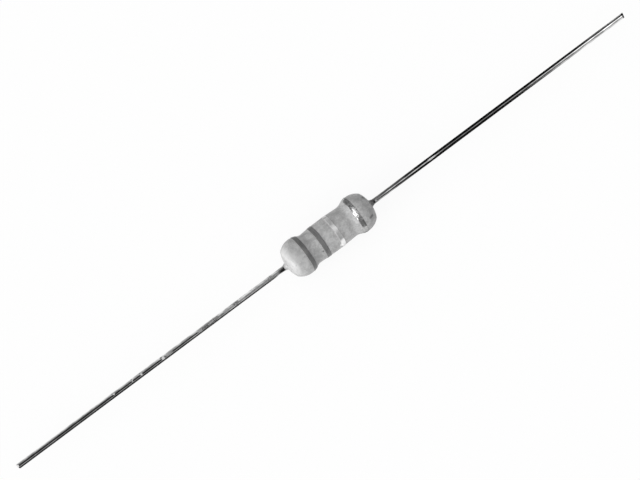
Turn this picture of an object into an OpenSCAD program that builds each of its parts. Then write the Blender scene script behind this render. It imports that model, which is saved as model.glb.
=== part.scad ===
// Axial film resistor with a lacquered dog-bone body, four code bands and two straight tinned leads.
// Millimetres. X runs along the leads, Z is up, and the origin is the middle of the body.

/* [Ceramic rod] */
// Diameter of the ceramic rod
core_d = 3; // [2.8:0.05:3.2]
// Length of the ceramic rod
core_length = 9.7; // [9:0.1:11]
// Chamfer on the two end edges of the rod
core_chamfer = 0.15; // [0.05:0.05:0.3]

/* [Resistive film] */
// Thickness of the film, drawn far thicker than the real one so that it can be seen
film_t = 0.04; // [0.03:0.01:0.06]
// Width of the spiral cut through the film
cut_width = 0.3; // [0.2:0.05:0.4]
// Advance of the spiral cut in one turn
cut_pitch = 1; // [0.8:0.05:1.1]
// Number of turns of the spiral cut
cut_turns = 5; // [2:0.5:5]

/* [End caps] */
// Wall of the pressed steel cap
cap_wall = 0.28; // [0.2:0.02:0.34]
// Length of the cap from its closed face to its rim
cap_length = 2.05; // [1.8:0.05:2.3]
// Outer radius of the cap's closed edge
cap_edge = 0.35; // [0.3:0.05:0.5]
// Width of the lead-in chamfer inside the rim
cap_lead_in = 0.08; // [0.04:0.02:0.14]

/* [Leads] */
// Diameter of the tinned wire
lead_d = 0.6; // [0.5:0.05:0.8]
// Length of the wire outside the body, up to the long side of its sheared end
lead_length = 35.9; // [25:0.1:40]
// Slant of the sheared end in degrees
shear_angle = 22; // [5:1:35]
// Turn of the slanted end about the wire in degrees
shear_turn = -40; // [-180:5:180]
// Diameter of the weld where the wire joins the cap
weld_d = 1; // [0.9:0.05:1.2]
// Height of the weld along the wire
weld_height = 0.2; // [0.1:0.05:0.4]
// Swelling of the wire's radius at the weld, which fades out where the lacquer ends
weld_upset = 0.03; // [0.01:0.01:0.06]

/* [Lacquer] */
// Thickness of the lacquer over the film and over the caps
coat_t = 0.43; // [0.36:0.01:0.5]
// Thickness of the lacquer at the middle of each end
end_coat = 0.62; // [0.5:0.02:0.7]
// Radius of the long bow of the barrel
barrel_bow = 30; // [20:1:60]
// Radius of the domed end faces
dome_r = 3.8; // [3.2:0.1:4]
// Radius of the bulge over each cap
bulge_r = 2.05; // [1.9:0.05:2.4]
// Radius of the edge between the dome and the bulge at the left end
left_edge = 0.55; // [0.2:0.05:0.8]
// Radius of the edge between the dome and the bulge at the right end
right_edge = 0.35; // [0.2:0.05:0.8]
// Radius of the hollow between the left bulge and the barrel
left_hollow = 1; // [0.6:0.05:1.6]
// Radius of the hollow between the right bulge and the barrel
right_hollow = 1.45; // [0.6:0.05:1.6]
// Radius of the collar that the lacquer draws up along the wire
collar_r = 0.4; // [0.2:0.05:0.6]
// Thickness of the lacquer where the collar ends on the wire
collar_lip = 0.03; // [0.02:0.01:0.06]

/* [Code bands] */
// Width of each painted band
band_width = 0.55; // [0.4:0.01:0.7]
// Thickness of the paint on the lacquer
band_t = 0.03; // [0.02:0.01:0.05]
// Distance from the left end of the body to the middle of the first band
first_band_inset = 2.42; // [2:0.02:2.8]
// Distance from one figure band to the next
band_pitch = 2; // [1.5:0.05:2.2]
// Distance from the right end of the body to the middle of the tolerance band
tolerance_inset = 2.23; // [2:0.02:2.8]

/* [Hidden] */
$fn = 96;

// Largest angle between two points of an arc, and the fewest steps in one
arc_step = 6;
arc_least_steps = 6;
// Sides of one turn of the spiral cut, and how far its cutter reaches past the film on both sides
cut_sides = 24;
cut_reach = 0.2;

core_r = core_d / 2;
film_r = core_r + film_t;
cap_r = film_r + cap_wall;
lead_r = lead_d / 2;
weld_r = weld_d / 2;
barrel_r = film_r + coat_t;
bulge_top_r = cap_r + coat_t;

// Places along the axis, measured from the middle of the body
core_end = core_length / 2;
cap_face = core_end + cap_wall;
cap_rim = cap_face - cap_length;
bulge_place = (cap_face - cap_edge + cap_rim) / 2;
body_end = cap_face + end_coat;
lead_tip = body_end + lead_length;

// Centres of the arcs of the body outline, as [radius, place along the axis]
dome_centre = [0, body_end - dome_r];
bulge_centre = [bulge_top_r - bulge_r, bulge_place];
bow_centre = [barrel_r - barrel_bow, 0];

// Point at distance ra from a and rb from b, on the side that lies farther from the axis
function meet(a, ra, b, rb) =
    let (gap = norm(b - a),
         along = (gap * gap + ra * ra - rb * rb) / (2 * gap),
         aside = sqrt(ra * ra - along * along),
         unit = (b - a) / gap,
         up = unit.y > 0 ? [unit.y, -unit.x] : [-unit.y, unit.x])
    a + unit * along + up * aside;

// Point of the circle about centre that faces another point
function facing(centre, r, other) = centre + r * (other - centre) / norm(other - centre);

// Points of the shorter arc about centre, from one point to another
function arc(centre, from, to) =
    let (r = norm(from - centre),
         first = atan2(from.y - centre.y, from.x - centre.x),
         full = atan2(to.y - centre.y, to.x - centre.x) - first,
         sweep = full > 180 ? full - 360 : full < -180 ? full + 360 : full,
         steps = max(arc_least_steps, ceil(abs(sweep) / arc_step)))
    [for (i = [0:steps]) centre + r * [cos(first + sweep * i / steps), sin(first + sweep * i / steps)]];

function without_last(points) = [for (i = [0:len(points) - 2]) points[i]];
function backwards(points) = [for (i = [len(points) - 1:-1:0]) points[i]];
function other_end(points) = [for (p = backwards(points)) [p.x, -p.y]];

// Where the collar's arc ends on the wire
collar_centre = let (r = lead_r + collar_lip + collar_r)
    [r, dome_centre.y + sqrt(pow(dome_r + collar_r, 2) - r * r)];
collar_end = [collar_centre.x - collar_r, collar_centre.y];
collar_foot_end = [lead_r, collar_end.y];

// Centre of the hollow that blends a bulge into the barrel
function hollow_centre(hollow) = meet(bulge_centre, bulge_r + hollow, bow_centre, barrel_bow + hollow);

// Outline of one end of the body, from the collar on the wire to the start of the barrel
function end_outline(edge, hollow) =
    let (edge_centre = meet(dome_centre, dome_r - edge, bulge_centre, bulge_r - edge),
         dip = hollow_centre(hollow),
         dome_edge = facing(dome_centre, dome_r, edge_centre),
         bulge_edge = facing(bulge_centre, bulge_r, edge_centre),
         bulge_foot = facing(bulge_centre, bulge_r, dip),
         collar_foot = facing(collar_centre, collar_r, dome_centre))
    concat(
        without_last(arc(collar_centre, collar_end, collar_foot)),
        without_last(arc(dome_centre, collar_foot, dome_edge)),
        without_last(arc(edge_centre, dome_edge, bulge_edge)),
        without_last(arc(bulge_centre, bulge_edge, bulge_foot)),
        without_last(arc(dip, bulge_foot, facing(bow_centre, barrel_bow, dip))));

// Outline of the barrel, from the right hollow to the left one
function barrel_outline() =
    let (right = hollow_centre(right_hollow), left = hollow_centre(left_hollow))
    arc(bow_centre,
        facing(bow_centre, barrel_bow, right),
        facing(bow_centre, barrel_bow, [left.x, -left.y]));

body_outline = concat(
    end_outline(right_edge, right_hollow),
    barrel_outline(),
    other_end(end_outline(left_edge, left_hollow)));

// Turns a profile of [radius, place] about the X axis
module turned() {
    rotate([0, 90, 0])
        rotate_extrude()
            children();
}

module left_side() {
    mirror([1, 0, 0])
        children();
}

// Everything inside the lacquer, and the lacquer itself, down to the bore round the wires
module body_profile() {
    polygon(concat([[lead_r, collar_end.y]], body_outline, [[lead_r, -collar_end.y]]));
}

// Outside of a pressed cap with its rounded closed edge
module cap_envelope() {
    corner = [cap_r - cap_edge, cap_face - cap_edge];
    polygon(concat(
        [[0, cap_face]],
        arc(corner, [corner.x, cap_face], [cap_r, corner.y]),
        [[cap_r, cap_rim], [0, cap_rim]]));
}

// Foot of a wire: the weld on the cap and the wire that it swelled, up to the end of the collar
module foot_profile() {
    polygon([
        [0, cap_face], [weld_r, cap_face], [lead_r + weld_upset, cap_face + weld_height],
        collar_foot_end, [0, collar_foot_end.y]
    ]);
}

// The rod is a plain cylinder with both end edges broken
module ceramic_core() {
    inner = core_r - core_chamfer;
    color("ivory")
        turned()
            polygon([
                [0, -core_end], [inner, -core_end], [core_r, core_chamfer - core_end],
                [core_r, core_end - core_chamfer], [inner, core_end], [0, core_end]
            ]);
}

// One rectangular ring of the spiral cutter, turned about the axis
function cutter_ring(turn, place) =
    [for (corner = [[-1, -1], [1, -1], [1, 1], [-1, 1]])
        let (r = (core_r + film_r) / 2 + corner.x * (film_t / 2 + cut_reach))
        [r * cos(turn), r * sin(turn), place + corner.y * cut_width / 2]];

// The cutter follows a helix that is centred on the rod
module spiral_cutter() {
    steps = ceil(cut_turns * cut_sides);
    rings = [for (i = [0:steps])
        cutter_ring(360 * cut_turns * i / steps, cut_pitch * cut_turns * (i / steps - 1 / 2))];
    last = 4 * steps;
    sides = [for (i = [0:steps - 1], k = [0:3])
        let (a = 4 * i + k, b = 4 * i + (k + 1) % 4)
        each [[a, b, a + 4], [b, b + 4, a + 4]]];
    ends = [[0, 2, 1], [0, 3, 2], [last, last + 1, last + 2], [last, last + 2, last + 3]];
    polyhedron(points = [for (ring = rings) each ring], faces = concat(sides, ends), convexity = 10);
}

// The film covers the rod between its chamfers and is trimmed by one spiral cut
module resistive_film() {
    film_half = core_end - core_chamfer;
    color("dimgray")
        rotate([0, 90, 0])
            difference() {
                rotate_extrude()
                    translate([core_r, -film_half])
                        square([film_t, 2 * film_half]);
                spiral_cutter();
            }
}

// A pressed cup that grips the film and backs on the end of the rod
module end_cap() {
    color("lightsteelblue")
        turned()
            difference() {
                cap_envelope();
                polygon([
                    [0, core_end], [film_r, core_end], [film_r, cap_rim + cap_lead_in],
                    [film_r + cap_lead_in, cap_rim], [0, cap_rim]
                ]);
            }
}

module end_cap_left() left_side() end_cap();
module end_cap_right() end_cap();

// A wire butt-welded to the cap, with a slanted end left by the shears
module lead() {
    shear_depth = lead_r * tan(shear_angle);
    color("silver")
        rotate([0, 90, 0])
            difference() {
                rotate_extrude() {
                    foot_profile();
                    translate([0, collar_end.y])
                        square([lead_r, lead_tip - collar_end.y]);
                }
                translate([0, 0, lead_tip - shear_depth])
                    rotate([0, 0, shear_turn])
                        rotate([shear_angle, 0, 0])
                            translate([-lead_d, -lead_d, 0])
                                cube(2 * lead_d);
            }
}

module lead_left() left_side() lead();
module lead_right() lead();

// The lacquer shell: a dog-bone outside, and inside the exact shape of what it seals
module coating() {
    color("darkgray")
        turned()
            difference() {
                body_profile();
                translate([0, -core_end])
                    square([film_r, core_length]);
                for (side = [0, 1])
                    mirror([0, side]) {
                        cap_envelope();
                        foot_profile();
                    }
            }
}

// A ring of paint on the lacquer, centred at a place along the body
module band(place, colour) {
    color(colour)
        turned()
            difference() {
                intersection() {
                    translate([band_t, 0])
                        body_profile();
                    translate([cap_r, place - band_width / 2])
                        square([bulge_top_r, band_width]);
                }
                body_profile();
            }
}

module band_first_figure() band(first_band_inset - body_end, "dimgray");
module band_second_figure() band(first_band_inset - body_end + band_pitch, "dimgray");
module band_multiplier() band(first_band_inset - body_end + 2 * band_pitch, "lightgray");
module band_tolerance() band(body_end - tolerance_inset, "silver");

ceramic_core();
resistive_film();
end_cap_left();
end_cap_right();
lead_left();
lead_right();
coating();
band_first_figure();
band_second_figure();
band_multiplier();
band_tolerance();
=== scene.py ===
"""Axial film resistor: fine meshes, finishes, studio and camera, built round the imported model.

Lengths are in metres and lie in the model's own frame: X runs along the leads, Z is up, and the
origin is the middle of the lacquered body. Only what a shader measures is in millimetres (grains,
marks, and places along X in a finish), and so are the cards of the studio.
"""
import logging
import math
from dataclasses import dataclass, field
from enum import Enum

import bmesh
import bpy
from mathutils import Matrix, Vector, noise


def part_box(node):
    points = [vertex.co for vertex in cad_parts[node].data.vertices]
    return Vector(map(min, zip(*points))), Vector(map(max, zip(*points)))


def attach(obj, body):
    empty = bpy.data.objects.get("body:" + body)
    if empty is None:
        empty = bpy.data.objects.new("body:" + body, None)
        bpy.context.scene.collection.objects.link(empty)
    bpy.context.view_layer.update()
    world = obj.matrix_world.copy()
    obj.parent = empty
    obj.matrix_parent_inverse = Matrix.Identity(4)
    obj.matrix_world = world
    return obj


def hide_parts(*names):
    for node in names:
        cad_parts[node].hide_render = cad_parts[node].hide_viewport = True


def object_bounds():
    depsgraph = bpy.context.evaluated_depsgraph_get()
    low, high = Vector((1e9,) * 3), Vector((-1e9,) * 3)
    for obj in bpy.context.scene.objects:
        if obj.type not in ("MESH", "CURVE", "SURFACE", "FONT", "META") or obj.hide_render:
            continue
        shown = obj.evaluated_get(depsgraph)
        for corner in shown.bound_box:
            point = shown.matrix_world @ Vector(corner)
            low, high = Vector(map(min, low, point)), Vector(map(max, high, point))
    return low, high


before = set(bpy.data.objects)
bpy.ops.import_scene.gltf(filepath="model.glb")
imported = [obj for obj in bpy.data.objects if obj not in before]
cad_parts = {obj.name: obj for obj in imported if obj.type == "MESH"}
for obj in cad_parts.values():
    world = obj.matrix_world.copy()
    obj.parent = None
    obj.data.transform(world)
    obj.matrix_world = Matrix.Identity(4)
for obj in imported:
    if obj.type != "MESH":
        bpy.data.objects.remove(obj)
cad_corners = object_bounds()

log = logging.getLogger("axial_resistor")

GREY = tuple[float, float, float, float]
SPAN = tuple[float, float]

MM = 0.001
ROOT = "root"
LEADS_AXIS = Vector((1, 0, 0))
SAME_POINT = 0.0001 * MM
ON_SKIN = 0.002 * MM
MARK_CORE = 0.4
NOISE_MIDDLE = (0.38, 0.62)
LACQUER_IOR = 1.5


class Slot(Enum):
    """Material slots of the record, by the piece that wears them."""

    CERAMIC = "ceramic"
    OXIDE_FILM = "oxide_film"
    CAP_STEEL = "cap_steel"
    TINNED_WIRE = "tinned_wire"
    LACQUER = "lacquer"
    GREY_PAINT = "grey_paint"
    GLOSS_PAINT = "gloss_paint"
    SILVER_PAINT = "silver_paint"


class End(Enum):
    """The two ends of the resistor, with the sign of X on each."""

    LEFT = -1
    RIGHT = 1


def grey(level: float) -> GREY:
    """Opaque neutral colour of a linear level."""
    return (level, level, level, 1.0)


@dataclass(frozen=True)
class Grain:
    """A noise: the size of its grains in millimetres, its finer layers, and its scale along and across X."""

    size: float
    detail: float = 2.0
    rough: float = 0.5
    stretch: SPAN = (1.0, 1.0)


@dataclass(frozen=True)
class Mark:
    """A small mark on a surface: its middle and radius in millimetres, and how much longer it is along X."""

    centre: tuple[float, float, float]
    radius: float
    length: float = 1.0


@dataclass(frozen=True)
class ToneMark(Mark):
    """A grey mark laid over a colour: its grey level, and how much of it shows in the middle. Some are real
    specks; others are painted light, painted shade or a painted reflection.
    """

    level: float = 0.12
    share: float = 0.85


class Link:
    """An output socket that takes part in Python expressions, each of which adds its Math nodes."""

    def __init__(self, graph: "Graph", socket: bpy.types.NodeSocket) -> None:
        """Wraps a socket of a graph."""
        self.graph = graph
        self.socket = socket

    def __add__(self, other: "Link | float") -> "Link":
        """Sum."""
        return self.graph.maths("ADD", self, other)

    def __radd__(self, other: float) -> "Link":
        """Sum with a number on the left."""
        return self.graph.maths("ADD", other, self)

    def __sub__(self, other: "Link | float") -> "Link":
        """Difference."""
        return self.graph.maths("SUBTRACT", self, other)

    def __rsub__(self, other: float) -> "Link":
        """Difference from a number."""
        return self.graph.maths("SUBTRACT", other, self)

    def __mul__(self, other: "Link | float") -> "Link":
        """Product."""
        return self.graph.maths("MULTIPLY", self, other)

    def __rmul__(self, other: float) -> "Link":
        """Product with a number on the left."""
        return self.graph.maths("MULTIPLY", other, self)

    def __neg__(self) -> "Link":
        """Opposite."""
        return self.graph.maths("MULTIPLY", self, -1.0)


class Graph:
    """The node tree of one material or of the world."""

    def __init__(self, tree: bpy.types.NodeTree) -> None:
        """Empties the tree, so that it holds only what is added here."""
        self.tree = tree
        tree.nodes.clear()

    def node(self, kind: str, settings: dict | None = None, inputs: dict | None = None) -> bpy.types.Node:
        """Adds one node.

        Args:
            kind: The node's type name.
            settings: Its properties, set before its sockets, such as an operation.
            inputs: Values, sockets or links by the name or the number of the input socket.

        Returns:
            The new node.
        """
        made = self.tree.nodes.new(kind)
        for name, value in (settings or {}).items():
            setattr(made, name, value)
        for key, value in (inputs or {}).items():
            source = value.socket if isinstance(value, Link) else value
            if isinstance(source, bpy.types.NodeSocket):
                self.tree.links.new(source, made.inputs[key])
            else:
                made.inputs[key].default_value = source
        return made

    def maths(self, operation: str, *values: "Link | float") -> Link:
        """Adds one Math node and links its result."""
        made = self.node("ShaderNodeMath", {"operation": operation}, dict(enumerate(values)))
        return Link(self, made.outputs[0])

    def most(self, first: Link, *others: Link) -> Link:
        """The greatest of several values."""
        for other in others:
            first = self.maths("MAXIMUM", first, other)
        return first

    def between(self, value: Link, low: float, high: float) -> Link:
        """Smooth step of a value from 0 at low to 1 at high."""
        made = self.node(
            "ShaderNodeMapRange",
            {"interpolation_type": "SMOOTHSTEP"},
            {"Value": value, "From Min": low, "From Max": high},
        )
        return Link(self, made.outputs[0])

    def window(self, value: Link, span: SPAN, edge: float) -> Link:
        """Soft window of a value.

        Args:
            value: What is tested.
            span: Where the window is open.
            edge: Width of both soft edges, half of it outside the span.

        Returns:
            1 inside, 0 outside.
        """
        low, high = span
        opened = self.between(value, low - edge / 2, low + edge / 2)
        return opened * (1 - self.between(value, high - edge / 2, high + edge / 2))

    def weighed(self, share: float, first: Link, second: Link) -> Link:
        """Share of one value and the rest of another."""
        return share * first + (1 - share) * second

    def spread(self, middle: "Link | float", width: float, value: Link) -> Link:
        """A middle that a noise moves up and down by half a width."""
        return middle + width * (value - 0.5)

    def mix(self, factor: Link, first: "Link | GREY", second: "Link | GREY") -> Link:
        """Mix of two colours by a factor."""
        made = self.node("ShaderNodeMix", {"data_type": "RGBA"}, {0: factor, 6: first, 7: second})
        return Link(self, made.outputs[2])

    def toned(self, tone: Link, dark: float, light: float) -> Link:
        """Grey from a dark to a light level by a tone from 0 to 1."""
        return self.mix(tone, grey(dark), grey(light))

    def place(self) -> Link:
        """Object coordinates in millimetres."""
        found = self.node("ShaderNodeTexCoord").outputs["Object"]
        made = self.node("ShaderNodeVectorMath", {"operation": "SCALE"}, {0: found, "Scale": 1 / MM})
        return Link(self, made.outputs[0])

    def along(self, place: Link) -> Link:
        """The place along the leads."""
        return self.parts(place)[0]

    def stretched(self, place: Link, along: float, across: float) -> Link:
        """Coordinates scaled apart along and across the leads."""
        scale = (along, across, across)
        made = self.node("ShaderNodeVectorMath", {"operation": "MULTIPLY"}, {0: place, 1: scale})
        return Link(self, made.outputs[0])

    def parts(self, vector: Link) -> tuple[Link, Link, Link]:
        """The three numbers of a vector."""
        made = self.node("ShaderNodeSeparateXYZ", inputs={0: vector})
        return tuple(Link(self, socket) for socket in made.outputs)

    def noise(self, place: Link, grain: Grain) -> Link:
        """Noise of a grain, from 0 to 1.

        Args:
            place: Object coordinates in millimetres.
            grain: Its size, layers and stretch.

        Returns:
            The noise's value.
        """
        vector = self.stretched(place, *grain.stretch)
        layers = {"Detail": grain.detail, "Roughness": grain.rough}
        made = self.node("ShaderNodeTexNoise", inputs={"Vector": vector, "Scale": 1 / grain.size, **layers})
        return Link(self, made.outputs["Fac"])

    def noises(self, place: Link, *grains: Grain) -> list[Link]:
        """Noise of each of several grains."""
        return [self.noise(place, grain) for grain in grains]

    def mark(self, place: Link, spot: Mark) -> Link:
        """Share of a small mark at each point.

        Args:
            place: Object coordinates in millimetres.
            spot: The mark.

        Returns:
            1 in its core, 0 outside its radius.
        """
        apart = self.node("ShaderNodeVectorMath", {"operation": "SUBTRACT"}, {0: place, 1: spot.centre})
        squashed = self.stretched(Link(self, apart.outputs[0]), 1 / spot.length, 1.0)
        reach = self.node("ShaderNodeVectorMath", {"operation": "LENGTH"}, {0: squashed})
        return 1 - self.between(Link(self, reach.outputs["Value"]), MARK_CORE * spot.radius, spot.radius)

    def marked(self, place: Link, marks: tuple[Mark, ...]) -> Link:
        """Share of the strongest of several marks at each point."""
        return self.most(*(self.mark(place, spot) for spot in marks))

    def with_tone_marks(self, place: Link, colour: Link, marks_and_painted_light: tuple[ToneMark, ...]) -> Link:
        """A colour with grey marks laid over it, one after the other: real specks as well as painted light
        and painted shade.
        """
        for tone_mark in marks_and_painted_light:
            colour = self.mix(tone_mark.share * self.mark(place, tone_mark), colour, grey(tone_mark.level))
        return colour

    def bump(self, height: Link, depth: float) -> Link:
        """Surface normal bent by a height from 0 to 1 whose full depth is in metres."""
        made = self.node("ShaderNodeBump", inputs={"Height": height, "Distance": depth})
        return Link(self, made.outputs[0])

    def shader(self, inputs: dict) -> Link:
        """A Principled shader with these sockets set or linked."""
        return Link(self, self.node("ShaderNodeBsdfPrincipled", inputs=inputs).outputs[0])


def blank_material(name: str) -> tuple[bpy.types.Material, Graph]:
    """Makes a material with an empty graph.

    Args:
        name: Name of the material.

    Returns:
        The material and its graph.
    """
    made = bpy.data.materials.new(name)
    made.use_nodes = True
    return made, Graph(made.node_tree)


class Finish:
    """What all finishes share: a name, and a material made from a shader graph."""

    name: str

    def material(self) -> bpy.types.Material:
        """Makes the material.

        Returns:
            The material, named like the finish.
        """
        made, graph = blank_material(self.name)
        graph.node("ShaderNodeOutputMaterial", inputs={"Surface": self.paint(graph)})
        return made

    def paint(self, graph: Graph) -> Link:
        """Builds the shader of this finish in an empty graph and returns its output."""
        raise NotImplementedError


@dataclass(frozen=True)
class Lacquer(Finish):
    """Satin lacquer: faintly mottled, with the orange peel of a dipped coat, a few dark specks and a hairline
    mark, painted shade and painted light on the left dome, a painted reflection beside the third band, and
    painted shade towards the right end.
    """

    name: str = "satin_lacquer"
    light: float = 0.44
    dark: float = 0.3
    cloud: Grain = Grain(0.9, 3.0, 0.6)
    cloud_share: float = 0.55
    grain: Grain = Grain(0.2, 3.0, 0.6)
    specks: Grain = Grain(0.32, 1.0)
    speck_range: SPAN = (0.73, 0.78)
    speck_share: float = 0.6
    speck: float = 0.2
    # Painted shade: the lacquer's colour darkens towards the right end, over the right dome and collar.
    right_end_shade: float = 0.12
    right_end_shade_range: SPAN = (5.2, 6.0)
    right_end_shade_waver: float = 0.25
    roughness: float = 0.46
    roughness_spread: float = 0.16
    peel: Grain = Grain(0.35)
    peel_share: float = 0.7
    peel_depth: float = 0.006 * MM
    marks_and_painted_light: tuple[ToneMark, ...] = (
        # Painted shade and painted light on the left dome: darker in the middle of its top, lighter on both
        # of its sides.
        ToneMark((-4.6, 0.0, 2.18), 1.7, 0.5, 0.25, 0.5),
        ToneMark((-5.3, 1.2, 1.42), 1.3, 0.45, 0.5, 0.55),
        ToneMark((-5.3, -1.35, 1.3), 1.3, 0.45, 0.5, 0.5),
        # Painted reflection: a white patch low on the front beside the third band, going on from that band's
        # own.
        ToneMark((0.42, -1.84, 0.62), 0.36, 0.9, 0.8, 0.85),
        # Real marks: small dark specks, and a hairline on the right dome.
        ToneMark((-1.76, -1.4, 1.36), 0.18),
        ToneMark((4.8, -1.48, 1.44), 0.22, 3.4),
        ToneMark((5.35, 0.75, 1.7), 0.3),
        ToneMark((-5.05, -0.9, 1.6), 0.1, 1.5),
    )

    def paint(self, graph: Graph) -> Link:
        """Builds the shader: mottled colour with specks, painted light and painted shade, uneven gloss,
        orange peel, and painted shade towards the right collar.

        Args:
            graph: The material's empty graph.

        Returns:
            The shader's output.
        """
        place = graph.place()
        cloud, grain, specks, peel = graph.noises(place, self.cloud, self.grain, self.specks, self.peel)
        tone = graph.between(graph.weighed(self.cloud_share, cloud, grain), *NOISE_MIDDLE)
        colour = graph.toned(tone, self.dark, self.light)
        speckled = self.speck_share * graph.between(specks, *self.speck_range)
        colour = graph.mix(speckled, colour, grey(self.speck))
        colour = graph.with_tone_marks(place, colour, self.marks_and_painted_light)
        # Painted shade towards the right end, with a wandering edge.
        right_end_shaded = graph.between(graph.spread(graph.along(place), self.right_end_shade_waver, grain), *self.right_end_shade_range)
        return graph.shader({
            "Base Color": graph.mix(right_end_shaded, colour, grey(self.right_end_shade)),
            "Roughness": graph.spread(self.roughness, self.roughness_spread, grain),
            "IOR": LACQUER_IOR,
            "Normal": graph.bump(graph.weighed(self.peel_share, peel, grain), self.peel_depth),
        })


@dataclass(frozen=True)
class BandPaint(Finish):
    """Plain satin paint of a figure band, sheer enough for the lacquer's grain to show through."""

    name: str = "figure_paint"
    light: float = 0.155
    dark: float = 0.115
    grain: Grain = Grain(0.14, 3.0, 0.65)
    grain_share: float = 0.5
    grain_depth: float = 0.005 * MM
    streaks: Grain = Grain(0.6, stretch=(3.0, 1.0))
    roughness: float = 0.42
    roughness_spread: float = 0.2

    def paint(self, graph: Graph) -> Link:
        """Builds the shader: streaked colour and a fine grain.

        Args:
            graph: The material's empty graph.

        Returns:
            The shader's output.
        """
        place = graph.place()
        grain, streaks = graph.noises(place, self.grain, self.streaks)
        tone = graph.between(graph.weighed(self.grain_share, grain, streaks), *NOISE_MIDDLE)
        return graph.shader({
            "Base Color": graph.toned(tone, self.dark, self.light),
            "Roughness": graph.spread(self.roughness, self.roughness_spread, streaks),
            "IOR": LACQUER_IOR,
            "Normal": graph.bump(grain, self.grain_depth),
        })


@dataclass(frozen=True)
class GlossPaint(Finish):
    """Glossy, half metallic paint of the multiplier band, with a painted reflection: a white, matt patch low
    on its front.
    """

    name: str = "multiplier_paint"
    light: float = 0.65
    dark: float = 0.57
    under: float = 0.37
    middle: float = 0.67
    rim: SPAN = (0.2, 0.26)
    rim_roughness: float = 0.16
    wave: Grain = Grain(0.5)
    wave_range: SPAN = (0.4, 0.6)
    wave_depth: float = 0.0015 * MM
    flake: Grain = Grain(0.09)
    metal: float = 0.55
    metal_spread: float = 0.2
    roughness: float = 0.3
    roughness_spread: float = 0.12
    ior: float = 1.6
    marks_and_painted_light: tuple[ToneMark, ...] = (
        # Painted reflection: white, matt patches low on the front of the band.
        ToneMark((0.74, -1.67, 1.0), 0.42, 1.2, 0.85, 0.95),
        ToneMark((0.6, -1.84, 0.66), 0.5, 1.2, 0.85, 0.95),
    )

    def paint(self, graph: Graph) -> Link:
        """Builds the shader: nearly even colour under a wavy gloss, thinning to the lacquer at both rims.

        Args:
            graph: The material's empty graph.

        Returns:
            The shader's output.
        """
        place = graph.place()
        edge = graph.between(graph.maths("ABSOLUTE", graph.along(place) - self.middle), *self.rim)
        wave, flake = graph.noises(place, self.wave, self.flake)
        colour = graph.toned(graph.between(wave, *self.wave_range), self.dark, self.light)
        colour = graph.mix(edge, colour, grey(self.under))
        # Where the painted reflection lies the paint is matt, without metal.
        matt = graph.most(edge, graph.marked(place, self.marks_and_painted_light))
        roughness = graph.spread(self.roughness, self.roughness_spread, wave)
        return graph.shader({
            "Base Color": graph.with_tone_marks(place, colour, self.marks_and_painted_light),
            "Metallic": graph.spread(self.metal, self.metal_spread, flake) * (1 - matt),
            "Roughness": roughness + self.rim_roughness * edge,
            "IOR": self.ior,
            "Normal": graph.bump(wave, self.wave_depth),
        })


@dataclass(frozen=True)
class SilverPaint(Finish):
    """Metallic paint of the tolerance band: flakes and dull patches break its highlight up. Marks also paint
    bright metal where the highlight falls, a painted highlight, and dull dark strokes beside it, a painted
    dark reflection.
    """

    name: str = "tolerance_paint"
    bright: float = 0.68
    dull: float = 0.15
    bare: float = 0.37
    patch: Grain = Grain(0.28, 3.0, 0.6)
    patch_range: SPAN = (0.4, 0.58)
    patch_share: float = 0.5
    flake: Grain = Grain(0.13)
    flake_range: SPAN = (0.3, 0.46)
    flake_depth: float = 0.01 * MM
    painted_stroke_share: float = 0.85
    metal: float = 0.95
    dull_metal_loss: float = 0.35
    roughness: float = 0.2
    dull_roughness: float = 0.25
    # Painted highlight: bright metal laid where the highlight falls.
    painted_highlight_spots: tuple[Mark, ...] = (
        Mark((3.56, 0.42, 2.21), 0.34, 0.6),
        Mark((3.48, -0.1, 2.25), 0.42, 0.7),
        Mark((3.5, -0.5, 2.19), 0.5, 0.7),
        Mark((3.54, -0.84, 2.08), 0.4, 0.7),
    )
    # Painted dark reflection: dull dark strokes above and below the highlight.
    painted_dark_strokes: tuple[Mark, ...] = (
        Mark((3.52, -1.54, 1.64), 0.7, 1.2),
        Mark((3.5, 1.45, 1.72), 0.8),
    )
    worn_spots: tuple[Mark, ...] = (Mark((3.5, -2.14, 0.66), 0.72),)

    def paint(self, graph: Graph) -> Link:
        """Builds the shader: bright metal with flakes, a painted highlight of bright metal, painted dark
        strokes of dull paint, and an end worn to the lacquer.

        Args:
            graph: The material's empty graph.

        Returns:
            The shader's output.
        """
        place = graph.place()
        patch, flake = graph.noises(place, self.patch, self.flake)
        # Painted highlight and painted dark strokes laid over the noise's tone.
        bright = graph.marked(place, self.painted_highlight_spots) * graph.between(flake, *self.flake_range)
        tone = graph.most(graph.between(patch, *self.patch_range), bright)
        tone = tone * (1 - self.painted_stroke_share * graph.marked(place, self.painted_dark_strokes))
        worn = graph.marked(place, self.worn_spots)
        colour = graph.toned(tone, self.dull, self.bright)
        return graph.shader({
            "Base Color": graph.mix(worn, colour, grey(self.bare)),
            "Metallic": (self.metal - self.dull_metal_loss * (1 - tone)) * (1 - worn),
            "Roughness": self.roughness + self.dull_roughness * (1 - tone),
            "Normal": graph.bump(graph.weighed(self.patch_share, patch, flake), self.flake_depth),
        })


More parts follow.
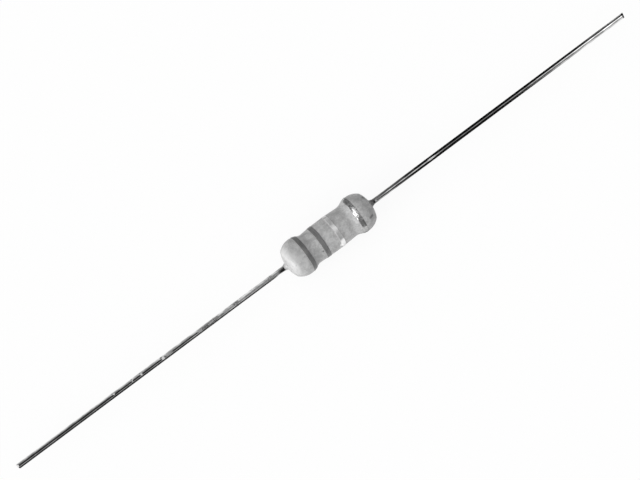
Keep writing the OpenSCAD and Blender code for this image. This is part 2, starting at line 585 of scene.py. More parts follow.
@dataclass(frozen=True)
class TinnedWire(Finish):
    """Bright tinned wire: drawing lines, tarnish, dull patches, lacquer that crept past the collar, painted
    shade where it leaves the collar, and painted glints.
    """

    name: str = "tinned_wire"
    bright: float = 0.84
    tarnish: float = 0.48
    tarnish_spots: Grain = Grain(0.8, 3.0, 0.65, (0.8, 2.2))
    roughness: float = 0.04
    lines: Grain = Grain(1.0, 3.0, 0.6, (0.12, 5.0))
    line_share: float = 0.7
    line_depth: float = 0.001 * MM
    dull: float = 0.5
    dull_roughness: float = 0.34
    patches: Grain = Grain(1.2, 3.0, 0.6, (0.7, 1.3))
    patch_share: float = 0.75
    patch_range: SPAN = (0.5, 0.62)
    worn_from: SPAN = (-20.5, -16.5)
    side_step: SPAN = (0.0, 1.0)
    residue: float = 0.2
    residue_cover: float = 0.6
    residue_roughness: float = 0.2
    creep: Grain = Grain(0.4)
    creep_waver: float = 0.9
    creep_range: SPAN = (6.1, 7.6)
    # Near-black of the band at the sheared end, also used for the painted shade at the wire roots.
    cut: float = 0.04
    cut_range: SPAN = (41.15, 41.32)
    rub: float = 0.26
    rub_share: float = 0.8
    glint_grey: float = 0.6
    # Painted shade: near-black patches where each wire leaves its collar.
    root_shade_marks: tuple[Mark, ...] = (
        Mark((6.12, -0.1, 0.28), 0.26, 1.2),
        Mark((-6.0, -0.16, 0.25), 0.34, 3.4),
    )
    rubs: tuple[Mark, ...] = (
        Mark((-21.6, 0.02, 0.3), 0.3, 2.0),
        Mark((-17.5, 0.02, 0.3), 0.26, 1.6),
        Mark((-13.9, 0.06, 0.3), 0.24, 2.4),
    )
    # Painted glints: matt light grey marks where the wire's glints fall, on its nicks and next to the right
    # collar.
    painted_glints: tuple[Mark, ...] = (
        Mark((6.42, -0.14, 0.26), 0.13),
        Mark((14.15, -0.06, 0.29), 0.13, 6.0),
        Mark((-22.4, -0.06, 0.29), 0.19, 1.3),
        Mark((-25.3, -0.06, 0.29), 0.15),
        Mark((-26.5, -0.02, 0.3), 0.09),
        Mark((-28.9, 0.02, 0.3), 0.12, 1.3),
    )

    def paint(self, graph: Graph) -> Link:
        """Builds the shader: streaked metal with its marks, painted shade at the roots, painted glints, and a
        grey film next to the right collar.

        Args:
            graph: The material's empty graph.

        Returns:
            The shader's output.
        """
        place = graph.place()
        along = graph.along(place)
        lines, patches = graph.noises(place, self.lines, self.patches)
        spots, creep = graph.noises(place, self.tarnish_spots, self.creep)
        worn = graph.between(along, *self.worn_from) * graph.between(-along, *self.side_step)
        dull = graph.between(graph.weighed(self.patch_share, patches, lines), *self.patch_range) * worn
        crept = 1 - graph.between(graph.spread(along, self.creep_waver, creep), *self.creep_range)
        crept = crept * graph.between(along, *self.side_step)
        cut = graph.between(along, *self.cut_range)
        root_shaded, rubbed, glinted = (graph.marked(place, marks) for marks in (self.root_shade_marks, self.rubs, self.painted_glints))
        rubbed = self.rub_share * rubbed
        colour = graph.toned(graph.between(spots, *NOISE_MIDDLE), self.tarnish, self.bright)
        colour = graph.mix(dull, colour, grey(self.dull))
        colour = graph.mix(crept, colour, grey(self.residue))
        # The sheared end's dark band, and painted shade at the wire roots.
        colour = graph.mix(graph.most(cut, root_shaded), colour, grey(self.cut))
        colour = graph.mix(rubbed, colour, grey(self.rub))
        return graph.shader({
            # Painted glints, matt and light grey.
            "Base Color": graph.mix(glinted, colour, grey(self.glint_grey)),
            "Metallic": (1 - self.residue_cover * crept) * (1 - graph.most(rubbed, glinted)),
            "Roughness": self.roughness + self.dull_roughness * dull + self.residue_roughness * crept,
            "Normal": graph.bump(graph.weighed(self.line_share, lines, patches), self.line_depth),
        })


@dataclass(frozen=True)
class PlainFinish(Finish):
    """A finish of one grain, for the pieces inside: colour, gloss and height all follow it."""

    name: str
    light: float
    dark: float
    grain: Grain
    tones: SPAN
    metal: float
    metal_gain: float
    roughness: float
    roughness_gain: float
    bump_grain: Grain
    depth: float

    def paint(self, graph: Graph) -> Link:
        """Builds the shader from the one grain.

        Args:
            graph: The material's empty graph.

        Returns:
            The shader's output.
        """
        place = graph.place()
        grain, height = graph.noises(place, self.grain, self.bump_grain)
        return graph.shader({
            "Base Color": graph.toned(graph.between(grain, *self.tones), self.dark, self.light),
            "Metallic": self.metal + self.metal_gain * grain,
            "Roughness": self.roughness + self.roughness_gain * grain,
            "Normal": graph.bump(height, self.depth),
        })


PORES = Grain(0.12, 4.0, 0.7)
PRESS_MARKS = Grain(1.0, 3.0, stretch=(0.4, 8.0))
FIRED_CERAMIC = PlainFinish(
    name="fired_ceramic", light=0.86, dark=0.74, grain=PORES, tones=(0.35, 0.6), metal=0.0,
    metal_gain=0.0, roughness=0.8, roughness_gain=-0.15, bump_grain=PORES, depth=0.004 * MM,
)
OXIDE_FILM = PlainFinish(
    name="oxide_film", light=0.2, dark=0.13, grain=Grain(0.8, 3.0), tones=(0.4, 0.6), metal=0.55,
    metal_gain=0.3, roughness=0.3, roughness_gain=0.2, bump_grain=Grain(0.1), depth=0.001 * MM,
)
CAP_STEEL = PlainFinish(
    name="cap_steel", light=0.62, dark=0.48, grain=PRESS_MARKS, tones=NOISE_MIDDLE, metal=1.0,
    metal_gain=0.0, roughness=0.26, roughness_gain=0.2, bump_grain=PRESS_MARKS, depth=0.003 * MM,
)


def placed(name: str, data: bpy.types.ID) -> bpy.types.Object:
    """Puts a mesh, a lamp or a camera into the scene.

    Args:
        name: Name of the object.
        data: What it holds.

    Returns:
        The new object.
    """
    made = bpy.data.objects.new(name, data)
    bpy.context.scene.collection.objects.link(made)
    return made


def object_from(mesh: bmesh.types.BMesh, name: str, material: bpy.types.Material) -> bpy.types.Object:
    """Turns a bmesh into an object of the scene.

    Args:
        mesh: The finished mesh, in its place. It is freed here.
        name: Name of the object.
        material: Its material.

    Returns:
        The new object.
    """
    data = bpy.data.meshes.new(name)
    mesh.to_mesh(data)
    mesh.free()
    data.materials.append(material)
    return placed(name, data)


def piece_from(mesh: bmesh.types.BMesh, name: str, finish: Finish, node: str) -> bpy.types.Object:
    """Turns a finished bmesh into a smooth, dressed piece that stands for a CAD node.

    Args:
        mesh: The finished mesh, in its place. It is freed here.
        name: Name of the new piece.
        finish: Its finish.
        node: The CAD node that it replaces.

    Returns:
        The new object.
    """
    made = object_from(mesh, name, finish.material())
    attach(made, ROOT)
    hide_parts(node)
    log.info("%s: %d faces, stands for %s", name, len(made.data.polygons), node)
    return made


def dress_node(node: str, finish: Finish) -> None:
    """Gives a carried-over CAD node its finish.

    Args:
        node: The CAD node's name.
        finish: Its finish.
    """
    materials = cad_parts[node].data.materials
    materials.clear()
    materials.append(finish.material())
    log.info("%s: keeps its CAD shape, finished as %s", node, finish.name)


class Pen:
    """Draws a profile in the half plane of X and Z, where Z is the distance from the leads' axis."""

    least_steps: int = 3

    def __init__(self, mesh: bmesh.types.BMesh, start: Vector) -> None:
        """Puts the first vertex at a start of (place, radius)."""
        self.mesh = mesh
        self.first = mesh.verts.new((start.x, 0, start.y))
        self.last = self.first

    def line_to(self, end: Vector, pieces: int = 1) -> None:
        """Draws a straight line.

        Args:
            end: Where it ends, as (place, radius).
            pieces: How many edges it has.
        """
        start = self.last.co.copy()
        step = (Vector((end.x, 0, end.y)) - start) / pieces
        for _ in range(pieces):
            grown = bmesh.ops.extrude_vert_indiv(self.mesh, verts=[self.last])["verts"][0]
            grown.co += step
            self.last = grown

    def arc_to(self, centre: Vector, end: Vector, step: float) -> None:
        """Draws the shorter arc by spinning the last vertex about a centre.

        Args:
            centre: Centre of the arc, as (place, radius).
            end: Where it ends.
            step: Largest angle between two of its vertices.
        """
        start = Vector((self.last.co.x, self.last.co.z)) - centre
        angle = start.angle_signed(end - centre)
        steps = max(self.least_steps, math.ceil(abs(angle) / step))
        spun = bmesh.ops.spin(
            self.mesh, geom=[self.last], cent=(centre.x, 0, centre.y), axis=(0, 1, 0),
            angle=angle, steps=steps, use_duplicate=False, use_merge=False,
        )
        self.last = next(part for part in spun["geom_last"] if isinstance(part, bmesh.types.BMVert))

    def close(self) -> None:
        """Joins the last vertex to the first."""
        self.mesh.edges.new((self.last, self.first))


def revolve(mesh: bmesh.types.BMesh, sides: int) -> None:
    """Turns the whole profile in a mesh about the leads' axis into a closed skin that faces out.

    Args:
        mesh: Holds nothing but the profile.
        sides: How many steps the full turn has.
    """
    bmesh.ops.spin(
        mesh, geom=mesh.verts[:] + mesh.edges[:], cent=(0, 0, 0), axis=LEADS_AXIS,
        angle=math.tau, steps=sides, use_duplicate=False, use_merge=True,
    )
    bmesh.ops.remove_doubles(mesh, verts=mesh.verts[:], dist=SAME_POINT)
    bmesh.ops.recalc_face_normals(mesh, faces=mesh.faces[:])
    for face in mesh.faces:
        face.smooth = True


def meet(first: Vector, first_reach: float, second: Vector, second_reach: float) -> Vector:
    """The point at given distances from two others, on the side that lies farther from the axis.

    Args:
        first: One point, as (place, radius).
        first_reach: Distance from it.
        second: The other point.
        second_reach: Distance from the other.

    Returns:
        The point, as (place, radius).
    """
    gap = (second - first).length
    along = (gap * gap + first_reach**2 - second_reach**2) / (2 * gap)
    aside = math.sqrt(first_reach**2 - along**2)
    unit = (second - first) / gap
    up = Vector((-unit.y, unit.x))
    if up.y < 0:
        up.negate()
    return first + unit * along + up * aside


def facing(centre: Vector, radius: float, other: Vector) -> Vector:
    """Point of the circle about a centre that faces another point."""
    return centre + (other - centre).normalized() * radius


def round_spot(place: float, turns: float, angle: float) -> Vector:
    """Where a noise is read, so that it closes on itself round the leads' axis."""
    return Vector((place, turns * math.cos(angle), turns * math.sin(angle)))


@dataclass(frozen=True)
class Arc:
    """One arc of the body's outline, as (place, radius) with a positive place on the right end."""

    centre: Vector
    radius: float
    start: Vector
    end: Vector
    hollow: bool = False

    def covers(self, place: float) -> bool:
        """Whether a place along the body lies on this arc."""
        low, high = sorted((self.start.x, self.end.x))
        return low <= place <= high

    def height(self, place: float) -> float:
        """Distance of the arc from the axis at a place."""
        rise = math.sqrt(max(0.0, self.radius**2 - (place - self.centre.x) ** 2))
        return self.centre.y - rise if self.hollow else self.centre.y + rise

    def mirrored(self) -> "Arc":
        """The same arc at the left end, drawn the other way."""
        def flip(point: Vector) -> Vector:
            """Point mirrored in the middle of the body."""
            return Vector((-point.x, point.y))

        return Arc(flip(self.centre), self.radius, flip(self.end), flip(self.start), self.hollow)


@dataclass(frozen=True)
class BodySizes:
    """Sizes of the body, layer by layer, as the construction has them, and the unevenness of its skin."""

    rod_radius: float = 1.5 * MM
    rod_half: float = 4.85 * MM
    film: float = 0.04 * MM
    cap_wall: float = 0.28 * MM
    cap_length: float = 2.05 * MM
    cap_edge: float = 0.35 * MM
    wire_radius: float = 0.3 * MM
    weld_radius: float = 0.5 * MM
    weld_height: float = 0.2 * MM
    weld_upset: float = 0.03 * MM
    coat: float = 0.43 * MM
    end_coat: float = 0.62 * MM
    barrel_bow: float = 30 * MM
    dome: float = 3.8 * MM
    bulge: float = 2.05 * MM
    left_edge: float = 0.55 * MM
    right_edge: float = 0.35 * MM
    left_hollow: float = 1.0 * MM
    right_hollow: float = 1.45 * MM
    collar: float = 0.4 * MM
    collar_lip: float = 0.03 * MM
    dent_depth: float = 0.022 * MM
    dent_length: float = 1.4 * MM
    dent_turns: float = 1.6

    @property
    def film_radius(self) -> float:
        """Outside of the film."""
        return self.rod_radius + self.film

    @property
    def cap_radius(self) -> float:
        """Outside of a cap."""
        return self.film_radius + self.cap_wall

    @property
    def cap_face(self) -> float:
        """Place of a cap's closed face."""
        return self.rod_half + self.cap_wall

    @property
    def cap_rim(self) -> float:
        """Place of a cap's open rim."""
        return self.cap_face - self.cap_length

    @property
    def body_half(self) -> float:
        """Half the length of the lacquered body."""
        return self.cap_face + self.end_coat


class BodyOutline:
    """The dog-bone outline of the lacquer: domes, bulges over the caps, hollows and a long bow."""

    def __init__(self, sizes: BodySizes) -> None:
        """Works out the arcs from the sizes, from the right collar to the left one."""
        self.sizes = sizes
        bulge_top = sizes.cap_radius + sizes.coat
        barrel_top = sizes.film_radius + sizes.coat
        bulge_place = (sizes.cap_face - sizes.cap_edge + sizes.cap_rim) / 2
        self.dome = Vector((sizes.body_half - sizes.dome, 0))
        self.bulge = Vector((bulge_place, bulge_top - sizes.bulge))
        self.bow = Vector((0, barrel_top - sizes.barrel_bow))
        collar_height = sizes.wire_radius + sizes.collar_lip + sizes.collar
        reach = math.sqrt((sizes.dome + sizes.collar) ** 2 - collar_height**2)
        self.collar = Vector((self.dome.x + reach, collar_height))
        self.lip = self.collar - Vector((0, sizes.collar))
        right = self.end_arcs(sizes.right_edge, sizes.right_hollow)
        left = [arc.mirrored() for arc in reversed(self.end_arcs(sizes.left_edge, sizes.left_hollow))]
        self.arcs = [*right, Arc(self.bow, sizes.barrel_bow, right[-1].end, left[0].start), *left]

    def end_arcs(self, edge: float, hollow: float) -> list[Arc]:
        """Arcs of one end, from the collar to the barrel.

        Args:
            edge: Radius of the edge between the dome and the bulge.
            hollow: Radius of the hollow between the bulge and the barrel.

        Returns:
            The five arcs of the right end.
        """
        sizes = self.sizes
        corner = meet(self.dome, sizes.dome - edge, self.bulge, sizes.bulge - edge)
        dip = meet(self.bulge, sizes.bulge + hollow, self.bow, sizes.barrel_bow + hollow)
        foot = facing(self.collar, sizes.collar, self.dome)
        dome_end = facing(self.dome, sizes.dome, corner)
        bulge_start = facing(self.bulge, sizes.bulge, corner)
        bulge_end = facing(self.bulge, sizes.bulge, dip)
        return [
            Arc(self.collar, sizes.collar, self.lip, foot, hollow=True),
            Arc(self.dome, sizes.dome, foot, dome_end),
            Arc(corner, edge, dome_end, bulge_start),
            Arc(self.bulge, sizes.bulge, bulge_start, bulge_end),
            Arc(dip, hollow, bulge_end, facing(self.bow, sizes.barrel_bow, dip), hollow=True),
        ]

    def radius_at(self, place: float) -> float:
        """Radius of the outline at a place along the body."""
        for arc in self.arcs:
            if arc.covers(place):
                return arc.height(place)
        return self.lip.y

    def skin_radius(self, place: float, angle: float) -> float:
        """Radius of the real, slightly uneven skin.

        Args:
            place: Place along the body.
            angle: Angle about the leads' axis.

        Returns:
            The radius, never over the outline's own.
        """
        sizes = self.sizes
        dent = 0.5 + 0.5 * noise.noise(round_spot(place / sizes.dent_length, sizes.dent_turns, angle))
        plain = self.radius_at(place)
        fade = min(1.0, max(0.0, (plain - sizes.weld_radius) / sizes.cap_radius))
        return plain - sizes.dent_depth * dent * fade


@dataclass
class LacquerShell:
    """The lacquer coat: the dog-bone skin outside, and inside the shape of all that it seals."""

    sizes: BodySizes
    outline: BodyOutline
    finish: Lacquer = field(default_factory=Lacquer)
    sides: int = 160
    arc_step: float = math.radians(3)
    ring_pitch: float = 0.12 * MM

    def build(self) -> bpy.types.Object:
        """Makes the shell.

        Returns:
            The object that stands for the coating.
        """
        mesh = bmesh.new()
        self.draw_profile(mesh)
        revolve(mesh, self.sides)
        self.make_uneven(mesh)
        return piece_from(mesh, "lacquer_shell", self.finish, "coating")

    def draw_profile(self, mesh: bmesh.types.BMesh) -> None:
        """Draws the outside from right to left and the inside back again.

        Args:
            mesh: An empty mesh.
        """
        pen = Pen(mesh, self.outline.lip)
        for arc in self.outline.arcs:
            rings = (arc.start - arc.end).length / self.ring_pitch
            fine = (arc.start - arc.centre).angle(arc.end - arc.centre) / max(1.0, rings)
            pen.arc_to(arc.centre, arc.end, min(self.arc_step, fine))
        for side in (End.LEFT, End.RIGHT):
            self.draw_inside(pen, side)
        pen.close()

    def draw_inside(self, pen: Pen, side: End) -> None:
        """Draws the inside of one end, towards the middle at the left end and away from it at the right.

        Args:
            pen: The pen, at the collar's lip or at the other end's rim.
            side: Which end.
        """
        sizes = self.sizes
        bare_end = Vector((self.outline.lip.x, sizes.wire_radius))
        weld_top = Vector((sizes.cap_face + sizes.weld_height, sizes.wire_radius + sizes.weld_upset))
        corner = Vector((sizes.cap_face - sizes.cap_edge, sizes.cap_radius - sizes.cap_edge))
        stops = [
            bare_end,
            weld_top,
            Vector((sizes.cap_face, sizes.weld_radius)),
            Vector((sizes.cap_face, corner.y)),
            Vector((corner.x, sizes.cap_radius)),
            Vector((sizes.cap_rim, sizes.cap_radius)),
            Vector((sizes.cap_rim, sizes.film_radius)),
        ]
        rounded = stops[4]
        if side is End.RIGHT:
            stops.reverse()
            rounded = stops[3]
        for stop in stops:
            target = Vector((side.value * stop.x, stop.y))
            if stop is rounded:
                pen.arc_to(Vector((side.value * corner.x, corner.y)), target, self.arc_step)
            else:
                pen.line_to(target)

    def make_uneven(self, mesh: bmesh.types.BMesh) -> None:
        """Moves the outer skin to where the real, slightly uneven one is.

        Args:
            mesh: The revolved shell.
        """
        for vert in mesh.verts:
            place, across, up = vert.co
            radius = math.hypot(across, up)
            if radius < self.sizes.film_radius and abs(place) < self.sizes.cap_face:
                continue
            if abs(radius - self.outline.radius_at(place)) > ON_SKIN:
                continue
            share = self.outline.skin_radius(place, math.atan2(across, up)) / radius
            vert.co.y *= share
            vert.co.z *= share


@dataclass
class CodeBand:
    """One ring of paint on the lacquer, with rounded lips and edges that wander a little."""

    outline: BodyOutline
    node: str
    name: str
    finish: Finish
    slot: Slot
    seed: float
    sides: int = 160
    paint: float = 0.03 * MM
    root: float = 0.012 * MM
    lip: float = 0.05 * MM
    shoulder: SPAN = (0.3, 0.7)
    wander: float = 0.035 * MM
    wander_turns: float = 2.2
    other_edge: float = 9.0
    strips: int = 10

    def build(self) -> bpy.types.Object:
        """Makes the ring.

        Returns:
            The object that stands for the band's CAD node.
        """
        low, high = (corner.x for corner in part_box(self.node))
        mesh = bmesh.new()
        self.draw_profile(mesh, low, high)
        revolve(mesh, self.sides)
        self.lay_on_skin(mesh, low, high)
        return piece_from(mesh, self.name, self.finish, self.node)

    def draw_profile(self, mesh: bmesh.types.BMesh, low: float, high: float) -> None:
        """Draws the closed section of the paint, sunk a little into the lacquer.

        Args:
            mesh: An empty mesh.
            low: Left edge of the band.
            high: Right edge of the band.
        """
        def over(place: float, lift: float) -> Vector:
            """Point at a height over the lacquer."""
            return Vector((place, self.outline.radius_at(place) + lift))

        inset, lift = self.shoulder[0] * self.lip, self.shoulder[1] * self.paint
        pen = Pen(mesh, over(low, -self.root))
        pen.line_to(over(low + inset, lift))
        inner_low, inner_high = low + self.lip, high - self.lip
        for step in range(self.strips + 1):
            pen.line_to(over(inner_low + (inner_high - inner_low) * step / self.strips, self.paint))
        pen.line_to(over(high - inset, lift))
        pen.line_to(over(high, -self.root))
        for step in range(self.strips - 1, 0, -1):
            pen.line_to(over(low + (high - low) * step / self.strips, -self.root))
        pen.close()

    def lay_on_skin(self, mesh: bmesh.types.BMesh, low: float, high: float) -> None:
        """Lets both edges wander and lays the paint on the uneven skin.

        Args:
            mesh: The revolved band.
            low: Left edge of the band.
            high: Right edge of the band.
        """
        for vert in mesh.verts:
            place, across, up = vert.co
            radius = math.hypot(across, up)
            angle = math.atan2(across, up)
            lift = radius - self.outline.radius_at(place)
            share = (place - low) / (high - low)
            left, right = (
                noise.noise(round_spot(seed, self.wander_turns, angle).yzx)
                for seed in (self.seed, self.seed + self.other_edge)
            )
            place += self.wander * ((1 - share) * left + share * right)
            new_radius = self.outline.skin_radius(place, angle) + lift
            vert.co = Vector((place, across * new_radius / radius, up * new_radius / radius))


@dataclass(frozen=True)
class Nick:
    """A flat that a tool or a fall left on a wire."""

    place: float
    angle: float
    depth: float
    reach: float


@dataclass
class WireLead:
    """One tinned wire: its weld and swollen foot, the drawn wire, its nicks and its sheared end."""

    side: End
    sizes: BodySizes
    outline: BodyOutline
    nicks: tuple[Nick, ...] = ()
    finish: TinnedWire = field(default_factory=TinnedWire)
    length: float = 35.9 * MM
    shear_angle: float = math.radians(22)
    shear_turn: float = math.radians(-40)
    sides: int = 48
    ring_pitch: float = 0.12 * MM
    foot_pieces: int = 4
    waver: float = 0.004 * MM
    waver_length: float = 1.1 * MM
    waver_turns: float = 0.8
    rim: float = 0.02 * MM

    @property
    def node(self) -> str:
        """The CAD node that this wire stands for."""
        return f"lead_{self.side.name.lower()}"

    def build(self) -> bpy.types.Object:
        """Makes the wire.

        Returns:
            The object that stands for the wire's CAD node.
        """
        mesh = bmesh.new()
        tip = self.sizes.body_half + self.length
        self.draw_profile(mesh, tip)
        revolve(mesh, self.sides)
        self.make_uneven(mesh)
        self.shear(mesh, tip)
        if self.side is End.LEFT:
            bmesh.ops.scale(mesh, vec=(-1, 1, 1), verts=mesh.verts[:])
            bmesh.ops.reverse_faces(mesh, faces=mesh.faces[:])
        return piece_from(mesh, f"wire_{self.side.name.lower()}", self.finish, self.node)

    def draw_profile(self, mesh: bmesh.types.BMesh, tip: float) -> None:
        """Draws the wire's section from the middle of its weld to the tip.

        Args:
            mesh: An empty mesh.
            tip: Where the long side of the sheared end lies.
        """
        sizes = self.sizes
        pen = Pen(mesh, Vector((sizes.cap_face, 0)))
        pen.line_to(Vector((sizes.cap_face, sizes.weld_radius)))
        pen.line_to(Vector((sizes.cap_face + sizes.weld_height, sizes.wire_radius + sizes.weld_upset)))
        bare = self.outline.lip.x
        pen.line_to(Vector((bare, sizes.wire_radius)), self.foot_pieces)
        pen.line_to(Vector((tip, sizes.wire_radius)), math.ceil((tip - bare) / self.ring_pitch))

    def make_uneven(self, mesh: bmesh.types.BMesh) -> None:
        """Gives the bare wire the slight waver of drawn wire, and flattens it at its nicks.

        Args:
            mesh: The revolved wire, on the right side.
        """
        for vert in mesh.verts:
            place, across, up = vert.co
            if place < self.outline.lip.x + self.ring_pitch:
                continue
            angle = math.atan2(across, up)
            spot = round_spot(place / self.waver_length, self.waver_turns, angle)
            spot.z += self.side.value
            share = 1 - self.waver * (0.5 + 0.5 * noise.noise(spot)) / self.sizes.wire_radius
            vert.co.y *= share
            vert.co.z *= share
            for nick in self.nicks:
                away = abs(place - nick.place) / nick.reach
                if away >= 1:
                    continue
                out = Vector((0, math.sin(nick.angle), math.cos(nick.angle)))
                limit = self.sizes.wire_radius - nick.depth * (1 - away * away)
                excess = vert.co.dot(out) - limit
                if excess > 0:
                    vert.co -= out * excess

    def shear(self, mesh: bmesh.types.BMesh, tip: float) -> None:
        """Cuts the end on a slant, closes it and breaks its rim.

        Args:
            mesh: The wire, on the right side.
            tip: Where the long side of the cut lies.
        """
        lean = Matrix.Rotation(self.shear_turn, 3, "Z") @ Matrix.Rotation(self.shear_angle, 3, "X")
        normal = Matrix.Rotation(math.radians(90), 3, "Y") @ lean @ Vector((0, 0, 1))
        depth = self.sizes.wire_radius * math.tan(self.shear_angle)
        cut = bmesh.ops.bisect_plane(
            mesh, geom=mesh.verts[:] + mesh.edges[:] + mesh.faces[:], dist=SAME_POINT,
            plane_co=(tip - depth, 0, 0), plane_no=normal, clear_outer=True, clear_inner=False,
        )
        rim = [part for part in cut["geom_cut"] if isinstance(part, bmesh.types.BMEdge)]
        end_face = bmesh.ops.edgeloop_fill(mesh, edges=rim)["faces"]
        bmesh.ops.recalc_face_normals(mesh, faces=mesh.faces[:])
        bmesh.ops.bevel(
            mesh, geom=rim, offset=self.rim, offset_type="OFFSET", affect="EDGES",
            segments=2, profile=0.5, material=-1, clamp_overlap=True,
        )
        for face in mesh.faces:
            face.smooth = len(face.verts) <= 4
        log.info("%s: sheared end of %d faces", self.node, len(end_face))


@dataclass(frozen=True)
class Panel:
    """A soft-edged panel of the studio that only gloss reflects.

    A direction is given by its lean, which is its share along X, and by its tilt from straight up
    towards the front, in degrees.
    """

    lean: SPAN
    tilt: SPAN
    strength: float
    lean_edge: float
    tilt_edge: float


@dataclass(frozen=True)
class Card:
    """A card on the floor that only gloss sees. The dark ones keep the pale floor out of the bright wires.

    Its lengths are in millimetres. It fades over the given length at both of its ends along X. A card
    with a rise leans, so that its edge away from the leads stands higher by that much. A card with a
    height hangs that far over the floor.
    """

    name: str
    along: SPAN
    across: SPAN
    level: float
    fade: float
    rise: float = 0.0
    height: float = 0.0


@dataclass
class Studio:
    """A pale floor, soft light all round, a low key light at the left, and panels and cards for gloss."""

    floor_half: float = 1.5
    sky: float = 0.79
    sky_fall: float = 0.28
    dark_room: float = 0.01
    floor_white: float = 0.9
    floor_albedo: float = 0.9
    card_lift: float = 0.05 * MM
    key_strength: float = 4.2
    key_angle: float = math.radians(45)
    key_from: Vector = field(default_factory=lambda: Vector((-0.983, -0.12, 0.14)))
    panels: tuple[Panel, ...] = (
        Panel((0.285, 0.9), (-8, 24), 2.2, 0.05, 12),
        Panel((0.28, 0.9), (34, 150), 0.55, 0.06, 16),
        Panel((0.3, 0.9), (-120, -22), 0.12, 0.04, 24),
        Panel((0.256, 0.288), (-4, 24), 0.52, 0.02, 12),
        Panel((0.214, 0.265), (0, 22), 0.36, 0.03, 10),
        Panel((0.176, 0.214), (-2, 30), 0.78, 0.014, 14),
        Panel((0.085, 0.176), (-10, 32), 0.3, 0.014, 16),
        Panel((0.085, 0.188), (-120, -10), 0.2, 0.03, 16),
        Panel((0.085, 0.188), (32, 120), 0.1, 0.03, 16),
        Panel((-0.15, 0.13), (-200, -80), 0.5, 0.04, 60),
        Panel((-0.15, 0.13), (-200, -34), 0.42, 0.04, 56),
        Panel((0.04, 0.12), (-75, -16), 0.2, 0.04, 22),
        Panel((-0.15, 0.12), (-45, 90), 0.012, 0.05, 30),
        Panel((-0.15, 0.06), (40, 62), 0.42, 0.04, 10),
        Panel((0.06, 0.12), (40, 64), 0.6, 0.04, 10),
        Panel((-0.42, -0.18), (-32, 29), 2.1, 0.04, 10),
        Panel((-1.2, -0.5), (-180, 180), 0.8, 0.1, 20),
    )
    cards: tuple[Card, ...] = (
        Card("card_front_left", (-60, -6.5), (-30, 0), 0.05, 1, 2.7),
        Card("card_front_right", (6.5, 37), (-30, 0), 0.01, 7, 2.7),
        Card("card_back_right", (6.5, 46), (0, 30), 0.005, 8, 2.7),
        Card("card_front_middle", (-8, 1.6), (-120, -8), 0.02, 0.4),
        Card("card_front_near", (2.3, 6.5), (-7, 0), 0.35, 0.4),
        Card("card_back_middle", (-6, 2.6), (7, 120), 0.03, 0.4),
        Card("card_back_near", (2.8, 6.5), (7, 120), 0.12, 0.4),
        Card("card_lamp", (3.3, 5.7), (-5, 10), 2.6, 0.8, height=22),
    )

    def build(self) -> None:
        """Makes the floor, the cards, the world and the key light."""
        self.build_floor()
        for card in self.cards:
            self.build_card(card)
        self.build_world()
        self.build_key()

    def shown(self, graph: Graph) -> Link:
        """1 on what the camera, gloss or glass sees, and 0 on what diffuse light sees."""
        return graph.most(*self.light_path(graph))

    def light_path(self, graph: Graph) -> tuple[Link, Link, Link]:
        """The camera, glossy and transmission flags of the light path."""
        node = graph.node("ShaderNodeLightPath")
        names = ("Is Camera Ray", "Is Glossy Ray", "Is Transmission Ray")
        return tuple(Link(graph, node.outputs[name]) for name in names)

    def build_floor(self) -> None:
        """Makes the floor that the body lies on: nearly white, and still shaded by the object."""
        whole = (-self.floor_half, self.floor_half)
        floor, graph = self.lay_sheet("floor", whole, whole, cad_corners[0].z)
        matte = graph.node("ShaderNodeBsdfDiffuse", inputs={"Color": grey(self.floor_albedo)})
        glow = graph.node("ShaderNodeEmission", inputs={"Color": grey(1.0), "Strength": 1.0})
        self.blend(graph, self.floor_white * self.shown(graph), matte, glow)
        log.info("%s at z = %.3f mm", floor.name, cad_corners[0].z / MM)

    def build_card(self, card: Card) -> None:
        """Lays or hangs one card, which fades out at both of its ends.

        Args:
            card: Its place, level and fade.
        """
        height = cad_corners[0].z + self.card_lift + card.height * MM
        along, across = (tuple(end * MM for end in span) for span in (card.along, card.across))
        sheet, graph = self.lay_sheet(card.name, along, across, height, card.rise * MM)
        low, high = card.along
        open_span = (low + card.fade / 2, high - card.fade / 2)
        clear = graph.node("ShaderNodeBsdfTransparent")
        glow = graph.node("ShaderNodeEmission", inputs={"Color": grey(1.0), "Strength": card.level})
        self.blend(graph, graph.window(graph.along(graph.place()), open_span, card.fade), clear, glow)
        for ray in ("camera", "diffuse", "transmission", "shadow"):
            setattr(sheet, f"visible_{ray}", False)
        log.info("%s: seen by gloss alone", card.name)

    def lay_sheet(
        self, name: str, along: SPAN, across: SPAN, height: float, rise: float = 0.0
    ) -> tuple[bpy.types.Object, Graph]:
        """Makes a rectangle of the stage, with an empty material.

        Args:
            name: Name of the object and of its material.
            along: Its ends along X.
            across: Its ends along Y.
            height: Its height, at its edge next to the leads.
            rise: How much higher its other edge is.

        Returns:
            The object, and the graph of its material.
        """
        corners = [Vector((x, y, height)) for x, y in zip(along, across)]
        mesh = bmesh.new()
        bmesh.ops.create_grid(mesh, x_segments=1, y_segments=1, size=0.5)
        bmesh.ops.scale(mesh, vec=corners[1] - corners[0] + Vector((0, 0, 1)), verts=mesh.verts[:])
        bmesh.ops.translate(mesh, vec=(corners[0] + corners[1]) / 2, verts=mesh.verts[:])
        lean = math.atan2(rise, across[1] - across[0]) * math.copysign(1, sum(across))
        hinge = (0, min(across, key=abs), height)
        bmesh.ops.rotate(mesh, cent=hinge, matrix=Matrix.Rotation(lean, 3, "X"), verts=mesh.verts[:])
        material, graph = blank_material(name)
        made = object_from(mesh, name, material)
        return made, graph

    def blend(self, graph: Graph, factor: Link, first: bpy.types.Node, second: bpy.types.Node) -> None:
        """Mixes two shaders by a factor into the output of a material."""
        shaders = {0: factor, 1: first.outputs[0], 2: second.outputs[0]}
        mixed = graph.node("ShaderNodeMixShader", inputs=shaders)
        graph.node("ShaderNodeOutputMaterial", inputs={"Surface": mixed.outputs[0]})

